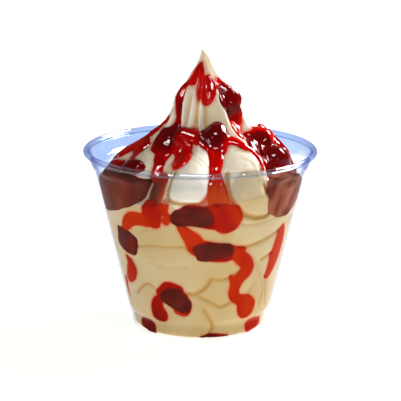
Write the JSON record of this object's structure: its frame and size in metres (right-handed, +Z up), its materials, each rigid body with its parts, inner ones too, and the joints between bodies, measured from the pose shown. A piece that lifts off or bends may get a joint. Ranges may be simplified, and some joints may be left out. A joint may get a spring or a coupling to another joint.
{
  "type": "strawberry sundae",
  "caption": "Swirl of soft serve with strawberry sauce and berry pieces in a squat clear plastic cup with a rolled rim.",
  "frame": {"origin": "middle of the cup's foot, on the surface that it stands on", "axes": "+Z up through the peak of the swirl, -Y towards the front, the side that the picture shows"},
  "size_m": [0.092, 0.092, 0.1104],
  "materials": {
    "clear_plastic": "clear glossy thermoformed plastic",
    "soft_serve": "smooth soft serve, satin, cream white to light tan",
    "sauce": "wet glossy strawberry sauce",
    "strawberry": "glossy sauce-coated strawberry piece, dark red"
  },
  "bodies": {
    "root": {"cup": "clear_plastic", "soft_serve": "soft_serve", "sauce_pool_left": "sauce", "sauce_pool_right": "sauce", "sauce_pool_back": "sauce", "top_strawberry_01": "strawberry", "top_strawberry_02": "strawberry", "top_strawberry_03": "strawberry", "top_strawberry_04": "strawberry", "top_strawberry_05": "strawberry", "top_strawberry_06": "strawberry", "top_strawberry_07": "strawberry", "top_strawberry_08": "strawberry", "top_strawberry_09": "strawberry", "top_strawberry_10": "strawberry", "wall_strawberry_01": "strawberry", "wall_strawberry_02": "strawberry", "wall_strawberry_03": "strawberry", "wall_strawberry_04": "strawberry", "wall_strawberry_05": "strawberry", "wall_strawberry_06": "strawberry", "wall_strawberry_07": "strawberry", "wall_strawberry_08": "strawberry", "wall_strawberry_09": "strawberry", "wall_strawberry_10": "strawberry", "wall_strawberry_11": "strawberry", "wall_strawberry_12": "strawberry", "wall_strawberry_13": "strawberry"}
  },
  "joints": []
}
